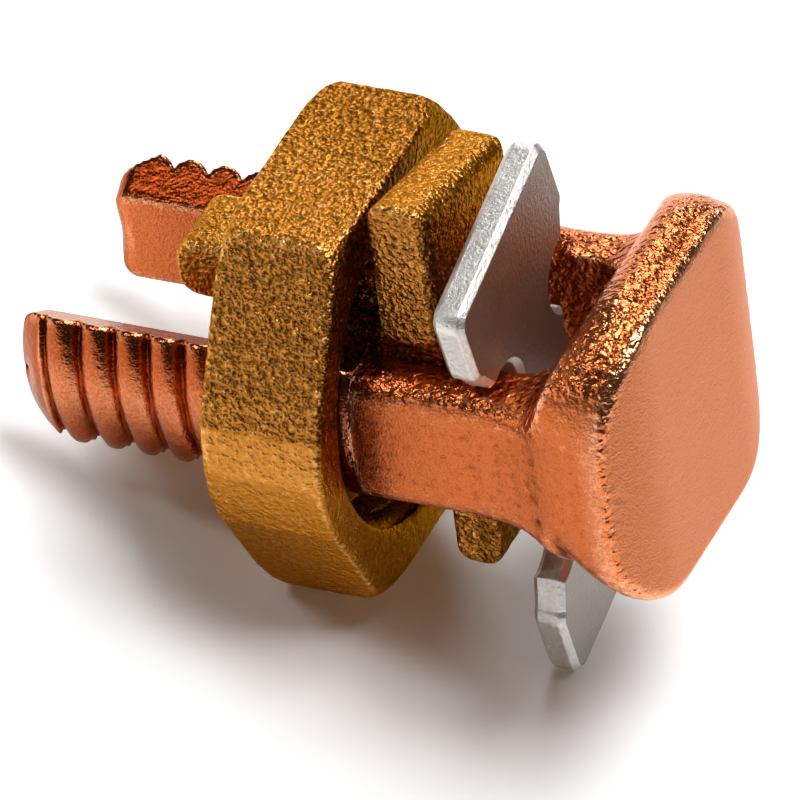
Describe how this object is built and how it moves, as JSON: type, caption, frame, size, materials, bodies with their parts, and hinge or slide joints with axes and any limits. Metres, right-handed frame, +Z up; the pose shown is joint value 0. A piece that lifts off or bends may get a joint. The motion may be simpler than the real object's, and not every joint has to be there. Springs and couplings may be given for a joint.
{
  "type": "split bolt connector",
  "caption": "Slotted copper bolt with a hex nut, pressure bar and loose spacer that clamps two parallel electrical conductors together.",
  "frame": {"origin": "middle of the slot's bottom, on the bolt's axis, where the inner conductor seats", "axes": "+Z up with the part lying at rest on a flat surface, +X towards the head's side with the bolt's axis sloping up to it at 25.91 degrees, +Y across the two legs"},
  "size_m": [0.0205, 0.015, 0.0168],
  "materials": {
    "copper": "satin forged copper",
    "nut_bronze": "rough cast bronze",
    "bar_bronze": "rough cast bronze",
    "tinned_metal": "satin tinned"
  },
  "bodies": {
    "bolt": {"split_bolt": "copper"},
    "bar": {"pressure_bar": "bar_bronze"},
    "nut": {"hex_nut": "nut_bronze"},
    "spacer": {"spacer": "tinned_metal"}
  },
  "joints": [
    {"name": "bar_slide", "type": "slide", "parent": "bolt", "child": "bar", "axis": [-0.8995, 0, -0.4369], "range_m": [0, 0.00881]},
    {"name": "nut_turn", "type": "hinge", "parent": "bar", "child": "nut", "pos_m": [-0.00558, 0, -0.00271], "axis": [-0.8995, 0, -0.4369], "range_deg": [0, 2880]},
    {"name": "spacer_slide", "type": "slide", "parent": "bolt", "child": "spacer", "axis": [0.8995, 0, 0.4369], "range_m": [-0.0004, 0.0002]}
  ],
  "couplings": [
    {"joint": "bar_slide", "follows": "nut_turn", "m_per_rad": 0.00017507}
  ]
}
